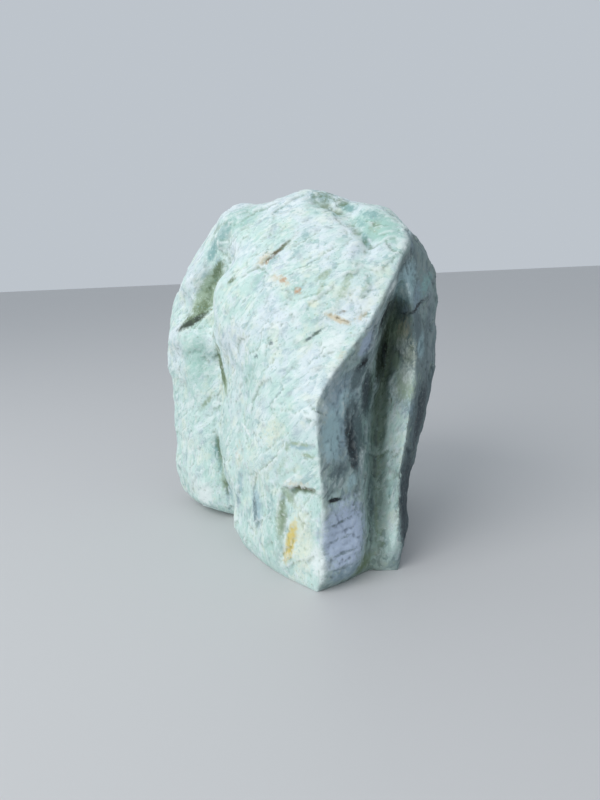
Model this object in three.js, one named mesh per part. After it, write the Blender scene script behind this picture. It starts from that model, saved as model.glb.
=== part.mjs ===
// Raw soapstone: one broken lump of pale green talc rock, standing on a flat broken foot.
// Millimetres, +Z up. The broad light face looks towards -Y, and the origin is the bottom centre.
//
// The stone has three upright masses, parted by two grooves that run from shoulder to foot:
// a big central mass with a sharp front ridge, a small lobe set back on the left, and a flank
// on the right that ends in a narrow pillar. Rails, one for each ridge and groove, carry the skin.
import * as THREE from "three";

// Driving sizes
const HEIGHT = 191; // foot to crown
const RIM_HEIGHT = 179; // where the walls turn over into the cap
const ROWS = 38; // rows of vertices up the walls
const CAP_ROWS = 7; // rows from the rim to the crown
const CAP_ROUNDNESS = 1.4; // 1 is a cone, 2 is a dome
const CROWN = [10, 6]; // plan position of the highest point
const FOOT_CENTRE = [0, -5]; // plan position that the foot's triangles share

// The heights at which every rail is given in plan. The first is the flat foot, which is a little
// smaller than the stone just above it, because the stone's bottom edge is chipped away all round.
const LEVELS = [0, 8, 25, 50, 75, 90, 100, 125, 148, 166, RIM_HEIGHT];

// The rails, in order round the stone: front, right, back, left. Each has its plan position [x, y]
// at each level, how soft its corner is (0 is a sharp ridge or crease, 1 is round), and how many
// columns of vertices there are between it and the next rail.
const RAILS = {
  frontRidge: {
    soft: 0.1,
    columns: 5,
    plan: [[7, -80], [8, -83], [9, -82], [11, -80], [10, -77], [10, -74], [15, -71], [36, -63], [50, -52], [56, -38], [48, -20]],
  },
  greyShelf: {
    soft: 0.2,
    columns: 5,
    plan: [[22, -71], [24, -75], [28, -70], [29, -62], [29, -56], [31, -54], [34, -53], [44, -50], [53, -48], [60, -34], [50, -17]],
  },
  deepGroove: {
    soft: 0.2,
    columns: 6,
    plan: [[34, -62], [35, -62], [38, -48], [42, -34], [45, -24], [48, -19], [50, -17], [54, -15], [55, -41], [60, -27], [51, -15]],
  },
  pillarEdge: {
    soft: 0.2,
    columns: 7,
    plan: [[49, -63], [50, -63], [50, -62], [51, -58], [56, -54], [58, -51], [60, -48], [60, -43], [58, -39], [62, -25], [53, -12]],
  },
  rightFlank: {
    soft: 0.5,
    columns: 7,
    plan: [[55, -32], [56, -31], [58, -27], [67, -20], [74, -14], [77, -11], [78, -10], [79, -8], [76, -6], [66, -4], [54, 0]],
  },
  rightRear: {
    soft: 0.3,
    columns: 7,
    plan: [[58, 22], [64, 24], [68, 28], [72, 32], [75, 36], [76, 37], [76, 38], [73, 38], [66, 34], [56, 27], [45, 20]],
  },
  rearCorner: {
    soft: 0.2,
    columns: 6,
    plan: [[38, 54], [45, 60], [50, 64], [52, 68], [52, 70], [50, 70], [49, 70], [44, 65], [38, 57], [32, 47], [27, 36]],
  },
  rearHollow: {
    soft: 0.8,
    columns: 5,
    plan: [[17, 56], [20, 62], [22, 66], [22, 66], [20, 65], [19, 64], [18, 63], [16, 60], [14, 54], [12, 46], [10, 37]],
  },
  rearRidge: {
    soft: 0.2,
    columns: 6,
    plan: [[-8, 69], [-8, 76], [-8, 80], [-10, 81], [-12, 81], [-12, 80], [-12, 78], [-11, 72], [-9, 64], [-7, 54], [-6, 44]],
  },
  rearFace: {
    soft: 0.6,
    columns: 6,
    plan: [[-34, 60], [-40, 67], [-42, 72], [-42, 75], [-42, 76], [-41, 75], [-40, 74], [-36, 70], [-30, 62], [-24, 53], [-19, 44]],
  },
  rearLeft: {
    soft: 0.2,
    columns: 4,
    plan: [[-52, 46], [-65, 55], [-70, 60], [-71, 64], [-71, 66], [-70, 66], [-69, 66], [-63, 63], [-54, 57], [-43, 50], [-33, 42]],
  },
  lobeSide: {
    soft: 0.5,
    columns: 6,
    plan: [[-60, 30], [-75, 33], [-77, 38], [-80, 44], [-81, 48], [-82, 49], [-82, 50], [-78, 50], [-65, 48], [-52, 42], [-41, 34]],
  },
  lobeFront: {
    soft: 0.5,
    columns: 4,
    plan: [[-44, 18], [-56, 10], [-60, 10], [-61, 14], [-60, 16], [-61, 16], [-62, 17], [-63, 20], [-57, 22], [-48, 22], [-38, 22]],
  },
  leftGroove: {
    soft: 0.2,
    columns: 5,
    plan: [[-35, 6], [-39, 3], [-43, 5], [-47, 9], [-45, 11], [-44, 13], [-44, 14], [-46, 17], [-44, 16], [-40, 13], [-33, 13]],
  },
  leftShoulder: {
    soft: 0.4,
    columns: 6,
    plan: [[-32, -28], [-34, -30], [-34, -24], [-36, -20], [-35, -17], [-34, -15], [-34, -14], [-40, -13], [-37, -10], [-27, -5], [-19, 0]],
  },
  broadFace: {
    soft: 0.9,
    columns: 6,
    plan: [[-14, -58], [-16, -61], [-15, -61], [-14, -59], [-14, -56], [-14, -54], [-13, -52], [-6, -49], [3, -41], [11, -30], [18, -17]],
  },
};

// Hollows, creases and swells that no rail carries. Each follows a path of [x, y, z] points, is
// deepest along it and fades out at its reach. A depth below zero raises the skin.
const MARKS = {
  leftHollow: { path: [[-36, -2, 157], [-44, 10, 143], [-66, 30, 129]], reach: 14, depth: 8 },
  lobeTop: { path: [[-46, 12, 112], [-62, 21, 112], [-77, 38, 109]], reach: 12, depth: -4.5 },
  lobeFlank: { path: [[-82, 46, 92], [-80, 44, 82]], reach: 14, depth: 2 },
  leftBrow: { path: [[-34, 6, 172], [-28, 20, 180]], reach: 18, depth: -4.5 },
  crownCrease: { path: [[18, -8, 186], [28, -14, 182], [34, -25, 174], [39, -41, 158]], reach: 8, depth: 4 },
  crownSaddle: { path: [[34, -6, 182], [40, 14, 178]], reach: 12, depth: 2 },
  crownLump: { path: [[42, -22, 175], [50, -38, 162]], reach: 14, depth: -3 },
  flankHollow: { path: [[66, -30, 146], [74, -18, 118]], reach: 14, depth: 2.5 },
};

// Flakes broken off the skin. Each leaves a shallow slanted hollow, and sharp low ridges stay where
// two of them meet. The broad front face split cleanly, so its flakes are the shallowest.
const FLAKES = 95;
const FLAKE_RADIUS = 60; // radius of the hollow that a flake leaves
const FLAKE_SLANT = 0.2; // rise over run
const FLAKE_LEVEL = 1.2; // relief at which the skin stays where the rails put it
const FLAKE_RIDGE = 0.5; // how far the ridges between flakes are worn down
const FLAKE_SEED = 3;
const FRONT_FLAKE_SHARE = 0.3; // of the relief at the back
const FRONT_FLAKES_END = -10; // y where the front's shallow flakes begin to deepen
const REAR_FLAKES_START = 60; // y where they have their full depth
const FLAT_FOOT_FADE = 14; // height over which the flakes fade in, which leaves the foot flat

// A rail as a smooth curve from the foot to the rim.
function railCurve({ plan }) {
  const points = plan.map(([x, y], i) => new THREE.Vector3(x, y, LEVELS[i]));
  return new THREE.CatmullRomCurve3(points);
}

// The share of a rail's curve at which it reaches a height.
function shareAtHeight(z) {
  const last = LEVELS.length - 1;
  let i = 0;
  while (i < last - 1 && z > LEVELS[i + 1]) i += 1;
  return (i + (z - LEVELS[i]) / (LEVELS[i + 1] - LEVELS[i])) / last;
}

// One closed ring round the stone: the rails' points at a height, joined by curves that bend at
// each rail as sharply as its softness says.
function ringAtHeight(rails, curves, z) {
  const share = shareAtHeight(z);
  const corners = curves.map((curve) => curve.getPoint(share));
  const count = corners.length;
  const ring = [];
  corners.forEach((here, i) => {
    const before = corners[(i + count - 1) % count];
    const next = corners[(i + 1) % count];
    const after = corners[(i + 2) % count];
    const chord = next.clone().sub(here);
    const leaving = chord.clone().lerp(next.clone().sub(before).multiplyScalar(0.5), rails[i].soft);
    const arriving = chord.clone().lerp(after.clone().sub(here).multiplyScalar(0.5), rails[(i + 1) % count].soft);
    for (let step = 0; step < rails[i].columns; step += 1) {
      const t = step / rails[i].columns;
      const point = here.clone().multiplyScalar((1 + 2 * t) * (1 - t) ** 2);
      point.addScaledVector(leaving, t * (1 - t) ** 2);
      point.addScaledVector(next, t * t * (3 - 2 * t));
      point.addScaledVector(arriving, t * t * (t - 1));
      ring.push(point);
    }
  });
  return ring;
}

// The skin of the stone as rows of rings, from the foot to the crown.
function skinRows() {
  const rails = Object.values(RAILS);
  const curves = rails.map(railCurve);
  const rows = [];
  for (let row = 0; row <= ROWS; row += 1) {
    rows.push(ringAtHeight(rails, curves, (RIM_HEIGHT * row) / ROWS));
  }
  const rim = rows[ROWS];
  for (let row = 1; row < CAP_ROWS; row += 1) {
    const reach = 1 - row / CAP_ROWS;
    rows.push(rim.map((point) => new THREE.Vector3(
      CROWN[0] + (point.x - CROWN[0]) * reach,
      CROWN[1] + (point.y - CROWN[1]) * reach,
      HEIGHT - (HEIGHT - RIM_HEIGHT) * reach ** CAP_ROUNDNESS,
    )));
  }
  return rows;
}

// The closed mesh: the rows of rings, a point at the crown, and a point in the middle of the foot.
function closedMesh(rows) {
  const around = rows[0].length;
  const points = rows.flat();
  const crown = points.push(new THREE.Vector3(CROWN[0], CROWN[1], HEIGHT)) - 1;
  const foot = points.push(new THREE.Vector3(FOOT_CENTRE[0], FOOT_CENTRE[1], 0)) - 1;
  const triangles = [];
  for (let column = 0; column < around; column += 1) {
    const next = (column + 1) % around;
    for (let row = 0; row + 1 < rows.length; row += 1) {
      const low = row * around;
      const high = low + around;
      triangles.push(low + column, low + next, high + next);
      triangles.push(low + column, high + next, high + column);
    }
    const top = (rows.length - 1) * around;
    triangles.push(top + column, top + next, crown);
    triangles.push(next, column, foot);
  }
  const geometry = new THREE.BufferGeometry().setFromPoints(points);
  geometry.setIndex(triangles);
  return geometry;
}

// How far a mark presses the skin in at a point.
function markDepth({ path, reach, depth }, point) {
  let distance = reach;
  for (let i = 0; i + 1 < path.length; i += 1) {
    const segment = new THREE.Line3(new THREE.Vector3(...path[i]), new THREE.Vector3(...path[i + 1]));
    const nearest = segment.closestPointToPoint(point, true, new THREE.Vector3());
    distance = Math.min(distance, nearest.distanceTo(point));
  }
  return depth * (1 - (distance / reach) ** 2) ** 2;
}

// The places and slants of all the flakes, on the skin itself.
function scatterFlakes(positions) {
  THREE.MathUtils.seededRandom(FLAKE_SEED);
  const random = () => THREE.MathUtils.seededRandom();
  return Array.from({ length: FLAKES }, () => ({
    centre: new THREE.Vector3().fromBufferAttribute(positions, Math.floor(random() * positions.count)),
    slant: new THREE.Vector3(random() - 0.5, random() - 0.5, random() - 0.5).multiplyScalar(2 * FLAKE_SLANT),
  }));
}

// The skin's relief at a point: the lowest of the flakes' hollows there, with worn ridges between.
function flakeRelief(flakes, point) {
  const weights = flakes.map(({ centre, slant }) => {
    const offset = point.clone().sub(centre);
    const hollow = slant.dot(offset) + offset.lengthSq() / (2 * FLAKE_RADIUS);
    return Math.exp(-hollow / FLAKE_RIDGE);
  });
  return -FLAKE_RIDGE * Math.log(weights.reduce((sum, weight) => sum + weight, 0)) - FLAKE_LEVEL;
}

// Moves every vertex along its normal by the marks and the flakes.
function breakSkin(geometry) {
  geometry.computeVertexNormals();
  const positions = geometry.getAttribute("position");
  const normals = geometry.getAttribute("normal");
  const flakes = scatterFlakes(positions);
  const moved = [];
  for (let i = 0; i < positions.count; i += 1) {
    const point = new THREE.Vector3().fromBufferAttribute(positions, i);
    const normal = new THREE.Vector3().fromBufferAttribute(normals, i);
    const back = THREE.MathUtils.smoothstep(point.y, FRONT_FLAKES_END, REAR_FLAKES_START);
    const share = THREE.MathUtils.lerp(FRONT_FLAKE_SHARE, 1, back);
    let rise = share * flakeRelief(flakes, point);
    for (const mark of Object.values(MARKS)) rise -= markDepth(mark, point);
    rise *= THREE.MathUtils.smoothstep(point.z, 0, FLAT_FOOT_FADE);
    moved.push(point.addScaledVector(normal, rise));
  }
  moved.forEach((point, i) => positions.setXYZ(i, point.x, point.y, point.z));
}

const stoneGeometry = closedMesh(skinRows());
breakSkin(stoneGeometry);
const box = new THREE.Box3().setFromBufferAttribute(stoneGeometry.getAttribute("position"));
const middle = box.getCenter(new THREE.Vector3());
stoneGeometry.translate(-middle.x, -middle.y, -box.min.z);

const stone = new THREE.Mesh(
  stoneGeometry,
  new THREE.MeshStandardMaterial({ color: 0xbdd6cc, roughness: 0.8, metalness: 0 }),
);
stone.name = "soapstone";

const model = new THREE.Group();
model.add(stone);

export default model;
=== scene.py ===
import math

import bpy
import numpy as np
from mathutils import Matrix, Vector, kdtree, noise


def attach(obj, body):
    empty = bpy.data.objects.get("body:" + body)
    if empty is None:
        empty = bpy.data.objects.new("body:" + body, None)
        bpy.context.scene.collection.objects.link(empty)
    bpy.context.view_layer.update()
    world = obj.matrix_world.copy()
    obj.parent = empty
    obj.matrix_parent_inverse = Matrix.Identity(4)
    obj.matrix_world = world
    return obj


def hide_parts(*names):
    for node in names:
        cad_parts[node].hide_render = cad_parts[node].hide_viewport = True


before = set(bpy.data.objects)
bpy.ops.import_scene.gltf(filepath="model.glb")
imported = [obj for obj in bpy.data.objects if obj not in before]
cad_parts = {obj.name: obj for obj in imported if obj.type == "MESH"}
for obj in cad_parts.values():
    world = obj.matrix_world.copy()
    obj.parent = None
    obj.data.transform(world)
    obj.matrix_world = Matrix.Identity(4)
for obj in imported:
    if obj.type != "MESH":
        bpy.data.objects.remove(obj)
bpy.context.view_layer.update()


# The camera
# It stands a little above the stone's height and about one third of a metre in front of it,
# looks slightly down on it, and leans a little to one side, as a hand-held one does.

MM = 0.001
CAMERA_PLACE = Vector((3.8, -346.4, 161)) * MM
CAMERA_PITCH = math.radians(13.8)
CAMERA_LEAN = math.radians(-2.55)
FILM_WIDTH = 36
FOCAL_LENGTH = 27.9

ahead = Vector((0, math.cos(CAMERA_PITCH), -math.sin(CAMERA_PITCH)))
above = Vector((0, math.sin(CAMERA_PITCH), math.cos(CAMERA_PITCH)))
across = Vector((1, 0, 0))
picture_x = math.cos(CAMERA_LEAN) * across + math.sin(CAMERA_LEAN) * above
picture_y = math.cos(CAMERA_LEAN) * above - math.sin(CAMERA_LEAN) * across

camera_data = bpy.data.cameras.new("camera")
camera_data.sensor_width = FILM_WIDTH
camera_data.lens = FOCAL_LENGTH
camera = bpy.data.objects.new("camera", camera_data)
camera_turn = Matrix((picture_x, picture_y, -ahead)).transposed().to_4x4()
camera.matrix_world = Matrix.Translation(CAMERA_PLACE) @ camera_turn
bpy.context.scene.collection.objects.link(camera)
bpy.context.scene.camera = camera


# The stone's skin
# One lump of talc rock, split from its bed and never dressed. Its large shape is the CAD solid's.
# The skin over it is what the splitting left: flakes, splinters along the bedding, and cracks.

SKIN_CELL = 1.1 * MM  # the mesh size that the finest chips need
FACET_SMOOTHING = 8  # passes that take the solid's own small flats off
FOOT_FLATNESS = 0.3  # mm above the ground that still count as the flat foot


def skin_as_modified(piece):
    """Gives a piece the mesh that its modifiers make of it, with all that is painted on it."""
    bpy.context.view_layer.update()
    graph = bpy.context.evaluated_depsgraph_get()
    evaluated = piece.evaluated_get(graph)
    mesh = bpy.data.meshes.new_from_object(evaluated, preserve_all_data_layers=True, depsgraph=graph)
    piece.modifiers.clear()
    piece.data = mesh
    return mesh


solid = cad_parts["soapstone"]
stone = bpy.data.objects.new("raw_stone", solid.data.copy())
bpy.context.scene.collection.objects.link(stone)
stone.data.materials.clear()
remesh = stone.modifiers.new("skin", "REMESH")
remesh.mode = "VOXEL"
remesh.voxel_size = SKIN_CELL
skin = skin_as_modified(stone)

count = len(skin.vertices)
edges = np.empty(len(skin.edges) * 2, np.int64)
skin.edges.foreach_get("vertices", edges)
edges = edges.reshape(-1, 2)
neighbours = np.bincount(edges.ravel(), minlength=count)[:, None]


def neighbour_mean(values):
    """The mean of each vertex's neighbours' values, for an array with one row for each vertex."""
    total = np.zeros_like(values)
    for column in range(values.shape[1]):
        total[:, column] = np.bincount(edges[:, 0], values[edges[:, 1], column], count)
        total[:, column] += np.bincount(edges[:, 1], values[edges[:, 0], column], count)
    return total / neighbours


def smoothed(values, passes):
    """The values after that many passes of half-way moves towards the neighbours' mean."""
    for _ in range(passes):
        values = (values + neighbour_mean(values)) / 2
    return values


def skin_normals(places):
    """Puts the skin's vertices at these places in mm, and gives their normals."""
    skin.vertices.foreach_set("co", (places * MM).ravel())
    skin.update()
    normals = np.empty(count * 3)
    skin.vertices.foreach_get("normal", normals)
    return normals.reshape(-1, 3)


def ramp(values, low, high):
    """0 below low and 1 above high, with a smooth rise between them."""
    share = np.clip((values - low) / (high - low), 0, 1)
    return share * share * (3 - 2 * share)


rough = np.empty(count * 3)
skin.vertices.foreach_get("co", rough)
rough = rough.reshape(-1, 3) / MM
on_foot = rough[:, 2] < FOOT_FLATNESS
crisp = smoothed(rough, 2)
base = smoothed(crisp, FACET_SMOOTHING)

# Ridges, and the edge of the foot, stay as crisp as the solid has them
sharpness = ramp(smoothed(np.linalg.norm(crisp - base, axis=1)[:, None], 2), 0.2, 0.6)
sharpness = np.maximum(sharpness, ramp(rough[:, 2:], 4, 1))
base += (crisp - base) * sharpness
base[on_foot, 2] = 0
x, y, z = base.T
base_normals = skin_normals(base)
near_normals = smoothed(base_normals, 4)

# Where the front ridge and the pillar's edge run, at each level, and the bottoms of two hollow forms
LEVELS = [0, 8, 25, 50, 75, 90, 100, 125, 148, 158, 170]
RIDGE_X = [8, 9, 10, 12, 11, 11, 16, 36, 51, 60, 67]
PILLAR_X = [50, 51, 51, 52, 57, 59, 61, 61, 60, 62, 66]
GROOVE = [(35, -61, 0), (36, -61, 8), (39, -47, 25), (43, -33, 50)]
GROOVE += [(46, -23, 75), (51, -16, 100), (55, -14, 120), (55, -22, 132)]
LEFT_HOLLOW = [(-38, 16, 152), (-47, 23, 137), (-60, 23, 122)]
RIGHT_HAND = np.array([0.85, -0.5, 0.1])  # the way the dark side faces

above_foot = ramp(z, 0.5, 9)
to_back = ramp(y, -10, 60)
beyond_ridge = ramp(x - np.interp(z, LEVELS, RIDGE_X), -1, 1.5)
from_pillar = x - np.interp(z, LEVELS, PILLAR_X)
beyond_pillar = ramp(from_pillar, -1, 3)
pillar_rim = ramp(np.abs(from_pillar), 8, 4) * ramp(y, -15, -25)
right_side = ramp(near_normals @ RIGHT_HAND, 0.15, 0.5) * beyond_ridge * ramp(z, 178, 164)


# Flakes
# Where a flake broke off it left a shallow slanted hollow, and where hollows meet, a sharp ridge.
# They are longer along the grain, which leans to the right going up, and is upright near the foot.

UPPER_GRAIN = np.array([0.66, -0.37, 0.66])  # on the upper part of the front and the left
LOWER_GRAIN = np.array([0.12, -0.08, 0.99])
DARK_GRAIN = np.array([0.25, 0.6, 0.76])
FLAKE_STRETCH = 2
NEAREST_FLAKES = 6  # how many flakes may reach one place


def squeezed(grain, stretch):
    """The skin's places with their run along the grain shortened: what is round there is long here."""
    grain = grain / np.linalg.norm(grain)
    return base - np.outer(base @ grain, grain) * (1 - 1 / stretch)


def flake_relief(spacing, hollow_radius, slant, seed):
    """The relief in mm of flakes that lie about that far apart, at every vertex."""
    random = np.random.default_rng(seed)
    ground = squeezed(UPPER_GRAIN, FLAKE_STRETCH)
    flakes = int(count * (SKIN_CELL / MM / spacing) ** 2)
    centres = ground[random.choice(count, flakes, replace=False)]
    slants = random.uniform(-slant, slant, centres.shape)
    tree = kdtree.KDTree(flakes)
    for index, centre in enumerate(centres):
        tree.insert(centre, index)
    tree.balance()
    relief = np.empty(count)
    for vertex, place in enumerate(ground):
        near = [index for _, index, _ in tree.find_n(place, NEAREST_FLAKES)]
        offset = place - centres[near]
        slanted = (slants[near] * offset).sum(1)
        hollowed = (offset * offset).sum(1) / (2 * hollow_radius)
        relief[vertex] = np.min(slanted + hollowed)
    return relief - relief.mean()


broad_flakes = flake_relief(spacing=15, hollow_radius=50, slant=0.24, seed=21)
middle_flakes = flake_relief(spacing=8, hollow_radius=30, slant=0.3, seed=6)
small_flakes = flake_relief(spacing=4.5, hollow_radius=18, slant=0.36, seed=9)


# Splinters and pits
# The bedding shows as fine ribs along the grain, and the talc between them is bruised and pitted.
# The ribs are upright near the foot, and on the dark side they lean back.

RIB_WIDTH = 2.2  # mm, of the ribs and the pits
RIB_STRETCH = 3
DARK_RIB_STRETCH = 4
NOISE_FADE = 0.9  # how fast the finer octaves of the noise get fainter
NOISE_STEP = 2.1  # how many times finer each octave is
SEED_STEP = 17.3  # how far apart two seeds lie in the noise


def noise_relief(places, scale, octaves, seed):
    """Smooth noise from about -1 to 1 at every place, with lumps about as many mm across as scale."""
    spots = places / scale + seed * SEED_STEP
    return np.array([noise.fractal(Vector(spot), NOISE_FADE, NOISE_STEP, octaves) for spot in spots])


upper_ground = squeezed(UPPER_GRAIN, RIB_STRETCH)
lower_ground = squeezed(LOWER_GRAIN, RIB_STRETCH)
dark_ground = squeezed(DARK_GRAIN, DARK_RIB_STRETCH)
swells = noise_relief(base, scale=20, octaves=2, seed=1)
pits = noise_relief(base, RIB_WIDTH, octaves=3, seed=3)
upper_ribs = noise_relief(upper_ground, RIB_WIDTH, octaves=3, seed=2)
lower_ribs = noise_relief(lower_ground, RIB_WIDTH, octaves=3, seed=2)
dark_ribs = noise_relief(dark_ground, RIB_WIDTH, octaves=3, seed=5)
ribs = lower_ribs + (upper_ribs - lower_ribs) * ramp(z, 35, 65)
ribs += (dark_ribs - ribs) * right_side

# How much of each the skin has: flakes are bolder behind, and the lobe on the left is smoother
on_lobe = ramp(-x, 40, 55)
relief = 0.4 * swells
relief += broad_flakes * (0.4 + 0.8 * to_back) * (1 - 0.75 * on_lobe)
relief += middle_flakes * (0.5 + 0.2 * to_back)
relief += small_flakes * (0.2 + 0.1 * to_back + 0.1 * right_side)
relief += ribs * (0.1 + 0.1 * right_side)
relief += 0.04 * pits


# Cracks and ledges
# Each crack follows a path of points in mm, as wide and as deep as the two numbers after it say.
# It is ragged, fades out towards its ends, and breaks off in places.

CRACKS = {
    "brow_crack": ([(-13, -27, 154), (-4, -27, 160), (5, -25, 166)], 1.8, 0.7),
    "face_dash": ([(5, -57, 117), (11, -57, 121), (17, -57, 125)], 1.5, 0.5),
    "face_nick": ([(19, -57, 129), (28, -57, 131)], 1.5, 0.4),
    "green_dash": ([(-33, -18, 143), (-26, -18, 149)], 1.8, 0.6),
    "crown_crease": ([(13, -4, 187), (23, -7, 182), (32, -20, 176)], 4, 1),
    "lump_crease": ([(33, -26, 172), (37, -38, 163), (39, -43, 157)], 3, 0.9),
    "brow_line": ([(-31, 4, 176), (-41, 22, 171), (-51, 30, 162)], 2.4, 0.7),
    "hollow_lip": ([(-67, 27, 121), (-57, 17, 124), (-48, 12, 131)], 2.4, 1),
    "groove_crack": ([(-48, 12, 122), (-44, 8, 112), (-41, 8, 93), (-42, 9, 82)], 2, 0.7),
    "groove_fork": ([(-41, 8, 90), (-46, 11, 79), (-48, 12, 60)], 1.8, 0.6),
    "groove_slot": ([(-47, 10, 56), (-46, 9, 45), (-45, 7, 36)], 3, 1),
    "groove_end": ([(-44, 6, 32), (-42, 4, 14)], 2, 0.7),
    "lobe_dash": ([(-57, 15, 68), (-48, 13, 80)], 1.8, 0.6),
    "foot_ledge": ([(13, -77, 51), (6, -75, 50), (-1, -71, 49), (-5, -68, 43)], 2.6, 1.1),
    "foot_channel": ([(-7, -67, 38), (-9, -66, 22), (-9, -64, 8)], 3, 0.7),
    "foot_nick": ([(-15, -60, 20), (-10, -65, 8)], 2, 0.6),
    "dark_crevice": ([(35, -54, 92), (30, -57, 76), (27, -60, 62), (26, -63, 55)], 3.4, 2.2),
    "dark_notch": ([(16, -76, 45), (22, -73, 44.5)], 1.7, 2),
    "dark_step": ([(11, -79, 46), (21, -72, 50), (29, -63, 56)], 2.2, 0.7),
    "high_course": ([(16, -78, 33), (30, -68, 36)], 0.9, 0.3),
    "second_course": ([(13, -80, 28), (29, -70, 30)], 1, 0.35),
    "third_course": ([(17, -79, 22), (30, -70, 24)], 0.9, 0.3),
    "fourth_course": ([(13, -81, 17), (29, -70, 19)], 1, 0.35),
    "low_course": ([(15, -80, 11), (28, -70, 13)], 0.9, 0.3),
    "inner_notch": ([(31, -59, 103), (36, -56, 107)], 2.6, 1.2),
    "pillar_crack": ([(53, -20, 106), (59, -42, 104)], 1.8, 0.8),
    "flank_streak": ([(61, -38, 124), (69, -28, 130), (76, -14, 138)], 2.4, 0.9),
}
END_FADE = 7  # mm over which a crack closes up towards its ends
CHIP_TOP = 48.5  # height in mm of the ledge over the flake that broke off the front foot
CHIP_DEPTH = 1.1
COURSES_TOP = 45  # height in mm up to which the dark foot stands proud, in fine courses
COURSES_END = 34  # how far right they reach, in mm
GROUND_GAP = 0.05  # mm that the skin beside the flat foot stays clear of the ground


def distance_to_path(path):
    """How far each vertex of the smooth skin is from a path, in mm."""
    nearest = np.full(count, np.inf)
    for start, end in zip(path[:-1], path[1:]):
        start, run = np.array(start, float), np.subtract(end, start)
        share = np.clip((base - start) @ run / (run @ run), 0, 1)
        nearest = np.minimum(nearest, np.linalg.norm(base - start - share[:, None] * run, axis=1))
    return nearest


crack_shadow = np.zeros(count)
ragged = 1 + 0.6 * noise_relief(base, scale=3.5, octaves=3, seed=7)
unbroken = ramp(noise_relief(base, scale=9, octaves=2, seed=8), -0.5, 0.1)
for path, width, depth in CRACKS.values():
    from_start = np.linalg.norm(base - path[0], axis=1)
    from_ends = np.minimum(from_start, np.linalg.norm(base - path[-1], axis=1))
    cut = 1 - ramp(distance_to_path(path) * ragged, 0.1 * width, width)
    cut *= ramp(from_ends, -2, END_FADE) * (0.35 + 0.65 * unbroken)
    relief -= cut * depth
    crack_shadow = np.maximum(crack_shadow, cut * min(1, depth) * (1 - 0.8 * right_side))

# The flake that broke off the front foot, under its ledge, and the fine courses on the dark foot
foot_chip = ramp(CHIP_TOP - z + 1.5 * ragged, 0, 1.6) * ramp(x + 5 + 0.08 * z, 0, 2)
foot_chip *= (1 - right_side) * ramp(-y, 40, 50)
relief -= CHIP_DEPTH * foot_chip
flattened = base * np.array([0.08, 0.08, 1])
courses = noise_relief(flattened, scale=2.4, octaves=2, seed=6)
dark_foot = right_side * ramp(COURSES_TOP - z - ragged, 0, 2) * ramp(COURSES_END - x, 0, 4)
relief += (0.9 + 0.5 * courses) * dark_foot

relief *= above_foot
places = base + base_normals * relief[:, None]
places[:, 2] = np.where(on_foot, 0, np.maximum(places[:, 2], GROUND_GAP))
final_normals = skin_normals(places)

# How the finished skin bends, close by and over a wider stretch: above 0 in hollows, below on bulges
close_bend = smoothed(((neighbour_mean(places) - places) * final_normals).sum(1)[:, None], 1)[:, 0]
wide_bend = ((smoothed(places, 30) - places) * final_normals).sum(1)


def paint(name, values):
    """Keeps one number from 0 to 1 for each vertex, for the material to read."""
    attribute = skin.attributes.new(name, "FLOAT", "POINT")
    attribute.data.foreach_set("value", np.clip(values, 0, 1).astype(np.float32))


# The places that the material's grain follows: each part's own direction, with ragged borders
in_lower_part = (z < 50 + 8 * swells + 5 * pits)[:, None]
on_dark_side = (right_side + 0.3 * pits > 0.5)[:, None]
grain_places = np.where(in_lower_part, lower_ground, upper_ground)
grain_places = np.where(on_dark_side, dark_ground, grain_places)
grain_attribute = skin.attributes.new("grain place", "FLOAT_VECTOR", "POINT")
grain_attribute.data.foreach_set("vector", grain_places.ravel().astype(np.float32))

# Bulges and edges get white, partly bruises and partly painted highlight, and hollows, nooks and
# cracks get painted shade
in_light = (1 - 0.4 * ramp(wide_bend, 0.3, 2.2)) * (1 - 0.75 * crack_shadow)
in_light *= 1 - (0.45 - 0.2 * to_back) * ramp(close_bend, 0.03, 0.14)
paint("bulge", ramp(-wide_bend, 0.2, 1.3))
paint("arris", ramp(-close_bend, 0.03, 0.13))
paint("green painted shade", (1 - in_light) * (1 - right_side))
paint("slate painted shade", (1 - in_light) * right_side)

# The parts painted darker: the groove and the flank, partly darker rock and partly painted shade,
# and the upper split joint and the pillar's upper rim, in painted shade
joint_shade = beyond_ridge * ramp(z, 84, 104) * ramp(y, 30, 5) * ramp(z, 170, 158)
from_groove = distance_to_path(GROOVE)
from_hollow = distance_to_path(LEFT_HOLLOW)
flank = beyond_pillar * ramp(y, 40, 10) * ramp(z, 176, 160)
paint("dark side", np.maximum(np.maximum(right_side, joint_shade), ramp(from_groove, 12, 5)))
paint("unwhitened", np.maximum(np.maximum(joint_shade, pillar_rim), ramp(from_hollow, 14, 8)))
paint("rim", pillar_rim * ramp(z, 95, 110))
paint("groove", ramp(from_groove, 12, 3) * ramp(z, 134, 122) * (0.5 + 0.5 * ramp(z, 45, 90)))
paint("flank", flank * (0.5 + 0.5 * ramp(z + 10 * swells, 120, 75)))
skin.polygons.foreach_set("use_smooth", np.ones(len(skin.polygons), bool))


# Chalky soapstone
# Talc rock is pale green to bluish white and dull, with white bruises, dark green chlorite in the
# joints and a few rusty grains. The side that the rock split along a joint is slate green, deepened
# with painted shade, and the hollows carry painted shade and the edges painted highlight as well.

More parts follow.
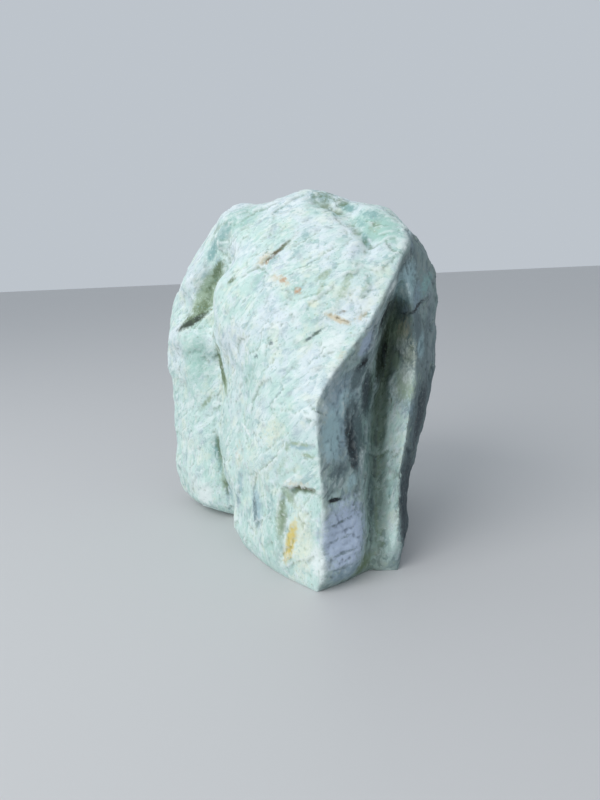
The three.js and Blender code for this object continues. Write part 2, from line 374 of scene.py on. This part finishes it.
SOAPSTONE = {
    "pale mint": (0.58, 0.76, 0.71),
    "bluish white": (0.70, 0.79, 0.83),
    "chalk": (0.80, 0.88, 0.86),
    "mint": (0.40, 0.62, 0.55),
    "teal": (0.26, 0.44, 0.43),
    "cream": (0.76, 0.82, 0.68),
    "ash": (0.50, 0.57, 0.55),
    "slate": (0.12, 0.17, 0.18),
    # the colour of painted shade on the dark side
    "deep slate shade": (0.05, 0.07, 0.08),
    "slate blue": (0.25, 0.35, 0.41),
    "steel": (0.38, 0.54, 0.57),
    "lavender": (0.46, 0.55, 0.69),
    "chlorite": (0.05, 0.07, 0.05),
    "moss": (0.15, 0.21, 0.12),
    "sage": (0.38, 0.49, 0.37),
    "rust": (0.50, 0.27, 0.13),
    "ochre": (0.70, 0.58, 0.20),
    "buff": (0.66, 0.60, 0.45),
    "umber": (0.12, 0.09, 0.045),
    # near black, for painted shadow
    "painted shadow": (0.008, 0.010, 0.012),
}

# Stains and grains of each colour: strength, centre in mm, half length and half width in mm, and how
# far the long way is turned up from level, in degrees, as seen from the front
# Some ovals on the dark side and in the groove are painted shade and painted light, as marked below
STAINS = {
    "mint": [
        (0.6, (-24, 3, 178), 18, 9, 25),
        (0.9, (45, -33, 169), 15, 10, -30),
        (0.6, (-58, 16, 100), 22, 12, 85),
        (0.5, (-12, -33, 150), 12, 5, 50),
        (0.5, (-14, -60, 20), 16, 5, 80),
        (0.5, (-22, -38, 100), 20, 6, 70),
    ],
    "cream": [
        (0.6, (1, -74, 24), 24, 8, 88),
        # painted light: the next one lightens the pillar's shaded wall
        (0.5, (60, -36, 107), 10, 4, 84),
        (0.5, (-11, -58, 74), 11, 6, 60),
        (0.7, (12, -51, 135), 3, 3.4, 80),
        (0.5, (-42, 8, 82), 12, 3, 100),
        (0.4, (30, -57, 138), 10, 5, 40),
    ],
    "lavender": [
        (0.4, (-21, -48, 32), 14, 3.4, 90),
        (0.9, (22, -73, 26), 22, 15, 88),
        (1.1, (20, -75, 32), 6, 5, 60),
        (0.6, (60, -26, 130), 6, 2.4, 70),
        (0.8, (36, -59, 116), 9, 3.6, 65),
        (0.6, (24, -66, 90), 9, 3, 84),
        (0.3, (14, -60, 112), 12, 5, 45),
    ],
    "slate blue": [
        (0.7, (24, -67, 82), 28, 13, 84),
        (0.6, (66, -28, 134), 14, 6, 60),
        (0.4, (37, -58, 116), 12, 6, 65),
        (0.45, (61, -28, 163), 9, 3.4, -52),
        (0.7, (60, -28, 140), 10, 5, 70),
        (0.7, (22, -73, 8), 12, 6, 10),
        (0.7, (-21, -49, 30), 10, 2.6, 88),
        (0.6, (-42, 1, 22), 10, 3.4, 86),
        (0.5, (57, -47, 82), 9, 5, 85),
        (0.5, (-40, -4, 40), 9, 3, 80),
        (0.5, (-32, -28, 30), 9, 2.4, 84),
        (0.4, (-56, 14, 50), 7, 3, 60),
        (0.4, (-18, -24, 132), 9, 4, 50),
        (0.35, (-6, -18, 170), 8, 5, 60),
    ],
    "steel": [
        (0.95, (18, -71, 76), 15, 6, 86),
        (0.95, (25, -63, 88), 9, 4, 82),
        (0.9, (3, -71, 71), 8, 2.4, 6),
        (0.7, (-40, 14, 153), 8, 3, 64),
        (0.35, (-20, -18, 163), 9, 5, 60),
        (0.8, (60, -36, 142), 16, 8, 66),
        (0.9, (57, -38, 137), 7, 5, 70),
        (0.7, (67, -33, 110), 9, 5, 75),
        (0.6, (32, -53, 57), 10, 3, 86),
        (0.5, (63, -38, 66), 9, 4, 80),
        (0.8, (20, -2, 187), 10, 4, -12),
        (0.6, (27, -64, 50), 6, 4, 60),
        (0.8, (-21, -48, 32), 13, 3.4, 90),
        (0.6, (-30, -33, 42), 12, 2.4, 86),
        (0.6, (-40, -8, 22), 10, 4, 80),
        (0.5, (-13, -42, 142), 8, 5, 50),
        (0.4, (-8, -40, 134), 10, 3, 55),
        (0.5, (-60, 16, 30), 8, 4, 60),
    ],
    "sage": [
        (0.5, (44, -32, 169), 6, 4, 60),
        (0.8, (-8, -67, 33), 15, 3.4, 84),
        (0.7, (-4, -69, 45), 8, 3, 120),
        (0.8, (3, -71, 72), 7, 1.4, 6),
        (0.8, (6, -73, 67), 5, 1.2, 0),
        (0.6, (-3, -66, 70), 5, 1.8, 70),
        (0.6, (28, -51, 144), 12, 2.6, 60),
        (0.7, (18, -45, 148), 6, 1.8, 30),
        (0.6, (16, -47, 142), 8, 1.8, 65),
        (0.5, (36, -54, 140), 7, 2, 60),
        (0.6, (-44, 6, 28), 13, 3, 86),
        (0.95, (-47, 21, 138), 25, 7.6, 56),
        (1.1, (-39, 3, 88), 9, 2.6, 104),
        (0.6, (-52, 14, 74), 10, 2, 52),
        (0.5, (-6, -60, 60), 12, 2, 60),
        (0.4, (-24, -28, 120), 12, 2, 60),
        (0.9, (57, -26, 115), 9, 4, 84),
        (0.7, (57, -42, 92), 12, 6, 85),
        (0.7, (55, -26, 101), 7, 3, 84),
    ],
    "buff": [
        (0.6, (-11, -26, 156), 8, 3.4, 40),
        (0.5, (-6, -35, 147), 4, 2.4, 0),
        (0.6, (-2, -38, 146), 6, 2.6, -30),
        (1, (23, -57, 128), 7, 1.8, -24),
        (0.5, (34, -60, 129), 6, 2, 40),
        (0.5, (24, -66, 112), 5, 2, 60),
        (0.3, (-30, -32, 56), 14, 4, 84),
        (0.5, (59, -27, 118), 10, 4, 80),
        (0.5, (0, -71, 52), 9, 2.4, 4),
    ],
    "teal": [
        (0.8, (33, -11, 180), 8, 3, -30),
        (0.6, (43, -26, 175), 8, 4, -20),
        (0.5, (38, -28, 171), 6, 3, -60),
        (0.8, (39, -37, 163), 6, 2.2, -70),
        (0.65, (-34, 6, 170), 13, 4.5, 56),
        (0.8, (-42, 17, 161), 9, 3.5, 62),
        (0.5, (-13, -60, 38), 13, 2.6, 84),
        (0.5, (10, -29, 166), 6, 4, 60),
        (0.4, (-11, -49, 111), 10, 2, 75),
        (0.95, (-47, 10, 46), 9, 3, 88),
        (0.6, (-46, 8, 36), 8, 2, 90),
        (0.5, (4, -34, 158), 8, 2, 50),
        (0.5, (60, -26, 139), 9, 5, 60),
        (0.6, (73, -18, 140), 10, 5, 60),
    ],
    "moss": [
        (0.55, (21, -2, 187), 9, 4, -12),
        (0.6, (30, -7, 183), 6, 3, -25),
        (0.7, (-40, 17, 150), 11, 3.4, 62),
        (0.5, (-48, 23, 137), 12, 3, 62),
        (0.5, (-7, -67, 38), 8, 1.6, 80),
        (0.6, (-29, -18, 146), 4.5, 1.4, 38),
        (0.9, (-41, 6, 96), 15, 2, 102),
        (0.75, (-51, 21, 129), 8, 5, 30),
        (0.6, (-60, 22, 122), 9, 4, 28),
        # the next three, in the groove, are moss and painted shade
        (0.6, (50, -18, 108), 22, 4, 84),
        (0.7, (31, -64, 6), 9, 5, 40),
        (0.6, (40, -46, 90), 16, 6, 90),
        (0.2, (58, -26, 118), 10, 4, 75),
    ],
    "slate": [
        (0.7, (12, -57, 121), 8, 1, 32),
        (0.6, (-9, -49, 117), 2.4, 1.6, 80),
        (0.5, (-17, -44, 110), 2, 1.8, 0),
        (0.4, (-46, 10, 48), 6, 1.4, 88),
        (0.6, (-22, -48, 31), 11, 1.6, 90),
        # the next six, on the ridge plane, the groove and the flank, are painted shade
        (1.1, (30, -57, 72), 24, 6, 96),
        (0.9, (33, -57, 102), 14, 4, 62),
        (0.6, (71, -28, 112), 20, 5, 75),
        (0.9, (74, -20, 86), 12, 5, 75),
        (0.9, (38, -47, 88), 18, 6, 92),
        (0.6, (38, -52, 34), 20, 3.4, 86),
        (0.6, (21, -76, 34), 9, 1.2, 8),
        (0.6, (20, -76, 26), 10, 1.1, 8),
        (0.6, (22, -76, 19), 9, 1.1, 6),
        (0.6, (20, -76, 12), 9, 1.2, 8),
        (0.8, (21, -71, 58), 8, 5, 10),
        (0.95, (65, -38, 121), 10, 5, 80),
    ],
    "deep slate shade": [
        # painted shade in the crevice, the groove and on the flank
        (1, (28, -58, 67), 16, 3.4, 97),
        (0.8, (37, -48, 88), 14, 4, 92),
        (0.8, (66, -36, 72), 26, 6, 78),
        (0.8, (57, -46, 30), 34, 8, 86),
        (0.5, (34, -57, 105), 6, 2, 50),
    ],
    "chlorite": [
        (0.9, (-58, 23, 121), 14, 2.4, 27),
        # the next three, in the groove and at its top, are chlorite and painted shade
        (0.9, (47, -24, 104), 18, 4, 78),
        (0.8, (50, -42, 125), 14, 4, 75),
        (0.5, (40, -42, 90), 10, 3, 92),
    ],
    "umber": [
        (0.8, (3, -72, 50), 9, 1.8, 6),
        (0.75, (-5, -27, 159), 12.5, 1.2, 38),
        (0.6, (24, -57, 128), 6, 0.9, -24),
        (0.5, (25, -57, 131), 4, 0.9, 12),
    ],
    "painted shadow": [
        # painted shadow at the top of the groove, along its floor, and in the crevice, the notches and a
        # crack on the flank
        (0.85, (47, -50, 126), 14, 2.4, 72),
        (0.6, (50, -18, 104), 12, 3, 85),
        (0.5, (28, -59, 66), 12, 2.4, 98),
        (0.65, (35, -57, 106), 5, 2, 40),
        (1.2, (18, -75, 45), 4.4, 1.1, -2),
        (0.8, (67, -32, 130), 14, 1.3, 24),
    ],
    "ochre": [
        (0.85, (-4, -71, 22), 14, 2.9, 76),
    ],
    "rust": [
        (0.25, (-6, -70, 15), 7, 1.8, 74),
        (0.4, (-10, -27, 154), 3, 2, 38),
        (0.75, (-2, -38, 146), 2.3, 1.8, 40),
        (0.7, (5, -44, 141), 2.3, 2.4, 70),
    ],
    "chalk": [
        (0.9, (-25, -34, 70), 6, 0.9, -42),
        (0.7, (-17, -45, 64), 7, 0.8, -50),
        (0.6, (20, -62, 118), 10, 6, 40),
        (0.5, (-62, 20, 20), 12, 8, 80),
        (0.9, (-57, 13, 16), 10, 6, 60),
        (0.7, (9, -79, 16), 12, 5, 90),
        # the next seven lighten shaded parts of the dark side: painted light
        (0.3, (25, -63, 88), 9, 3, 82),
        (0.55, (57, -44, 98), 8, 5, 88),
        (0.5, (58, -30, 110), 8, 4, 80),
        (0.46, (33, -52, 57), 9, 3, 86),
        (0.5, (49, -51, 140), 6, 2, 62),
        (0.5, (58, -37, 138), 6, 4, 70),
        (0.5, (57, -43, 161), 5, 4, 60),
        (0.4, (-69, 32, 46), 14, 5, 86),
    ],
}
STAIN_DEPTH = 8  # mm that a stain reaches further into the stone than it is long
STAIN_END = 1.35  # where a stain ends, as a multiple of its half size
STAIN_CORE = 0.25  # up to where it has its full strength
MOST_TRIANGLES = 190000  # that the finished skin keeps


def stain_field(spots):
    """How far inside the nearest oval each vertex lies: its strength in the middle, 0 outside."""
    field = np.zeros(count)
    for strength, centre, half_length, half_width, turn in spots:
        right, up = math.cos(math.radians(turn)), math.sin(math.radians(turn))
        offset = places - centre
        along = (offset[:, 0] * right + offset[:, 2] * up) / half_length
        beside = (offset[:, 2] * right - offset[:, 0] * up) / half_width
        inwards = offset[:, 1] / (half_length + STAIN_DEPTH)
        from_centre = np.sqrt(along**2 + beside**2 + inwards**2)
        field = np.maximum(field, strength * ramp(from_centre, STAIN_END, STAIN_CORE))
    return field


for name, spots in STAINS.items():
    paint(name + " stain", stain_field(spots))

# The finished skin is thinned where it is smooth, and keeps all that is painted on it
triangles = len(skin.loops) - 2 * len(skin.polygons)
thinning = stone.modifiers.new("thinning", "DECIMATE")
thinning.ratio = MOST_TRIANGLES / triangles
skin = skin_as_modified(stone)


def put(tree, kind, inputs=None, **settings):
    """Adds a node with its settings, and feeds its inputs with values or other nodes' outputs."""
    made = tree.nodes.new(kind)
    for setting, value in settings.items():
        setattr(made, setting, value)
    for name, value in (inputs or {}).items():
        if isinstance(value, bpy.types.NodeSocket):
            tree.links.new(value, made.inputs[name])
        else:
            made.inputs[name].default_value = value
    return made


def new_group(name, inputs, outputs):
    """An empty node group with named sockets, and the sockets that its inside reads and feeds."""
    tree = bpy.data.node_groups.new(name, "ShaderNodeTree")
    for socket, kind in inputs.items():
        tree.interface.new_socket(socket, in_out="INPUT", socket_type="NodeSocket" + kind)
    for socket in outputs:
        tree.interface.new_socket(socket, in_out="OUTPUT", socket_type="NodeSocketFloat")
    return tree, put(tree, "NodeGroupInput").outputs, put(tree, "NodeGroupOutput").inputs


# The grain: fine noise and loose chips, at places that are already shortened along the grain
grain_group, given, results = new_group("grain", {"Place": "Vector", "Width": "Float"}, ("Fibre", "Chip"))
fineness = put(grain_group, "ShaderNodeMath", {0: 1.0, 1: given["Width"]}, operation="DIVIDE")
spread = {"Vector": given["Place"], "Scale": fineness.outputs["Value"]}
fibres = put(grain_group, "ShaderNodeTexNoise", {**spread, "Detail": 4, "Roughness": 0.62})
cells = put(grain_group, "ShaderNodeTexVoronoi", spread)
chips = put(grain_group, "ShaderNodeSeparateColor", {"Color": cells.outputs["Color"]})
grain_group.links.new(fibres.outputs["Fac"], results["Fibre"])
grain_group.links.new(chips.outputs["Red"], results["Chip"])

material = bpy.data.materials.new("soapstone")
material.use_nodes = True
tree = material.node_tree
surface = tree.nodes["Principled BSDF"]


def soft_step(value, low, high):
    """The value as a share of the way from low to high, eased at both ends."""
    settings = {"Value": value, "From Min": low, "From Max": high}
    return put(tree, "ShaderNodeMapRange", settings, interpolation_type="SMOOTHSTEP").outputs["Result"]


def tint(under, colour, mask):
    """The colour under, changed towards a named soapstone colour where the mask is."""
    shades = {0: mask, 6: under, 7: (*SOAPSTONE[colour], 1)}
    return put(tree, "ShaderNodeMix", shades, data_type="RGBA").outputs[2]


def times(first, second):
    return put(tree, "ShaderNodeMath", {0: first, 1: second}, operation="MULTIPLY").outputs["Value"]


def plus(first, second):
    return put(tree, "ShaderNodeMath", {0: first, 1: second}, operation="ADD").outputs["Value"]


def vector_math(operation, inputs):
    return put(tree, "ShaderNodeVectorMath", inputs, operation=operation).outputs["Vector"]


def painted(name):
    """The number from 0 to 1 that is painted on the skin under that name."""
    return put(tree, "ShaderNodeAttribute", attribute_name=name).outputs["Fac"]


object_place = put(tree, "ShaderNodeTexCoord").outputs["Object"]
in_mm = vector_math("SCALE", {0: object_place, "Scale": 1 / MM})


def mottle(scale, detail=3, shift=0):
    """Cloudy noise with patches about that many mm across."""
    settings = {"Vector": in_mm, "Scale": 1 / scale, "Detail": detail, "Roughness": 0.55, "W": shift}
    return put(tree, "ShaderNodeTexNoise", settings, noise_dimensions="4D").outputs["Fac"]


def pushed(place, scale, reach):
    """The place pushed about by noise, up to about a quarter of the reach each way."""
    settings = {"Vector": place, "Scale": 1 / scale, "Detail": 3, "Roughness": 0.6}
    push = put(tree, "ShaderNodeTexNoise", settings).outputs["Color"]
    push = vector_math("SUBTRACT", {0: push, 1: (0.5, 0.5, 0.5)})
    push = vector_math("SCALE", {0: push, "Scale": reach})
    return vector_math("ADD", {0: place, 1: push})


def grain(width):
    """Fibre noise and chips about that many mm wide, and longer along the grain."""
    settings = {"Place": along_grain, "Width": width}
    return put(tree, "ShaderNodeGroup", settings, node_tree=grain_group).outputs


wavering = pushed(in_mm, 9, 5)
grain_place = put(tree, "ShaderNodeAttribute", attribute_name="grain place").outputs["Vector"]
along_grain = pushed(grain_place, 7, 4)
dark_side = painted("dark side")

# The pale rock, bluish towards the top and minty lower down, in clouds
height = put(tree, "ShaderNodeSeparateXYZ", {"Vector": in_mm}).outputs["Z"]
bluish = times(soft_step(mottle(22), 0.42, 0.6), soft_step(height, 30, 125))
colour = tint((*SOAPSTONE["pale mint"], 1), "bluish white", bluish)
minty = plus(0.15, times(soft_step(height, 150, 90), 0.25))
colour = tint(colour, "mint", times(soft_step(mottle(15, shift=3), 0.5, 0.7), minty))
colour = tint(colour, "cream", times(soft_step(mottle(9, shift=7), 0.52, 0.64), 0.5))
colour = tint(colour, "bluish white", times(soft_step(mottle(6, shift=61), 0.54, 0.66), 0.6))
colour = tint(colour, "ash", times(soft_step(mottle(5, detail=4, shift=51), 0.54, 0.7), 0.7))

# Chips and fibres, pale and green by turns
wide_grain = grain(3.5)
close_grain = grain(1.8)
fine_grain = grain(0.9)
patchy = soft_step(mottle(8, detail=2, shift=31), 0.4, 0.6)
colour = tint(colour, "mint", times(soft_step(wide_grain["Chip"], 0.35, 0.1), 0.25))
colour = tint(colour, "chalk", times(soft_step(wide_grain["Chip"], 0.7, 0.95), 0.25))
dapples = times(soft_step(wide_grain["Fibre"], 0.5, 0.36), soft_step(mottle(10, shift=41), 0.42, 0.56))
colour = tint(colour, "slate blue", times(dapples, 0.4))
colour = tint(colour, "teal", times(soft_step(close_grain["Chip"], 0.2, 0.02), times(patchy, 0.45)))
colour = tint(colour, "chalk", times(soft_step(close_grain["Chip"], 0.74, 0.98), 0.5))
colour = tint(colour, "teal", times(soft_step(close_grain["Fibre"], 0.45, 0.3), 0.45))
colour = tint(colour, "chalk", times(soft_step(close_grain["Fibre"], 0.57, 0.7), 0.6))
colour = tint(colour, "sage", times(soft_step(fine_grain["Fibre"], 0.42, 0.3), times(patchy, 0.8)))

# The dark side, with its own chips and fibres. Its slate and the groove's moss are partly the rock's
# own colour and partly painted shade, and the slate on the pillar's upper rim is painted shade
shade = plus(0.15, times(0.8, close_grain["Fibre"]))
dark_chips = times(dark_side, soft_step(close_grain["Chip"], 0.4, 0.1))
pale_fibres = times(dark_side, soft_step(close_grain["Fibre"], 0.53, 0.66))
colour = tint(colour, "slate", times(dark_side, shade))
colour = tint(colour, "slate", times(dark_chips, 0.55))
colour = tint(colour, "moss", times(painted("groove"), plus(0.35, times(0.6, close_grain["Fibre"]))))
colour = tint(colour, "slate", painted("flank"))
colour = tint(colour, "slate", times(painted("rim"), 0.6))
colour = tint(colour, "sage", times(pale_fibres, times(patchy, 0.45)))

# Stains and grains, broken up at their edges
fraying = {"Vector": wavering, "Scale": 1 / 2.2, "Detail": 4, "Roughness": 0.65}
frays = put(tree, "ShaderNodeTexNoise", fraying).outputs["Fac"]
breaks = plus(times(frays, 1.2), -0.6)
for name in STAINS:
    colour = tint(colour, name, soft_step(plus(painted(name + " stain"), breaks), 0.15, 0.85))

# Hollows get painted shade, green on the pale side and slate on the dark side, and bulges and edges
# get white, partly bruises and partly painted highlight
colour = tint(colour, "moss", painted("green painted shade"))
colour = tint(colour, "deep slate shade", painted("slate painted shade"))
whitenable = plus(1, times(painted("unwhitened"), -1))
bulges = times(painted("bulge"), soft_step(mottle(5, detail=4, shift=11), 0.4, 0.6))
arrises = painted("arris")
colour = tint(colour, "chalk", times(times(bulges, whitenable), plus(0.6, times(dark_side, -0.5))))
colour = tint(colour, "chalk", times(times(arrises, whitenable), plus(0.5, times(dark_side, -0.4))))

# Fine flecks, dark and pale
flecks = mottle(1.3, detail=2, shift=19)
colour = tint(colour, "teal", times(soft_step(flecks, 0.36, 0.28), 0.5))
colour = tint(colour, "chalk", times(soft_step(flecks, 0.63, 0.72), plus(0.6, times(dark_side, -0.4))))
tree.links.new(colour, surface.inputs["Base Color"])

# A dull, fine-grained surface
grain_height = plus(times(fine_grain["Fibre"], 0.6), times(mottle(0.8, shift=23), 0.5))
bump = put(tree, "ShaderNodeBump", {"Height": grain_height, "Strength": 0.45, "Distance": 0.5 * MM})
tree.links.new(bump.outputs["Normal"], surface.inputs["Normal"])
surface.inputs["Roughness"].default_value = 0.72
surface.inputs["Specular IOR Level"].default_value = 0.35
skin.materials.append(material)

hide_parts("soapstone")
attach(stone, "root")


# The studio
# A pale floor, one wide soft light from the upper left and a faint cool fill all round.

FLOOR_WIDTH = 6  # in metres, like all the measures of this section
FLOOR_COLOUR = (0.6, 0.6, 0.6, 1)
FILL_COLOUR = (0.85, 0.92, 1, 1)
FILL_STRENGTH = 0.6
KEY_PLACE = Vector((-0.68, -0.62, 0.8))
KEY_AIM = Vector((0, 0, 0.1))
KEY_WIDTH = 0.9
KEY_POWER = 8.7  # watts

bpy.ops.mesh.primitive_plane_add(size=FLOOR_WIDTH)
floor = bpy.context.object
floor.name = "floor"
floor_material = bpy.data.materials.new("pale_floor")
floor_material.use_nodes = True
floor_surface = floor_material.node_tree.nodes["Principled BSDF"]
floor_surface.inputs["Base Color"].default_value = FLOOR_COLOUR
floor.data.materials.append(floor_material)

world = bpy.data.worlds.new("studio")
bpy.context.scene.world = world
world.use_nodes = True
fill = world.node_tree.nodes["Background"]
fill.inputs["Color"].default_value = FILL_COLOUR
fill.inputs["Strength"].default_value = FILL_STRENGTH
bpy.context.scene.view_settings.view_transform = "Standard"

key_data = bpy.data.lights.new("key", "AREA")
key_data.size = KEY_WIDTH
key_data.energy = KEY_POWER
key = bpy.data.objects.new("key", key_data)
key.location = KEY_PLACE
key.rotation_mode = "QUATERNION"
key.rotation_quaternion = (KEY_AIM - KEY_PLACE).to_track_quat("-Z", "Y")
bpy.context.scene.collection.objects.link(key)
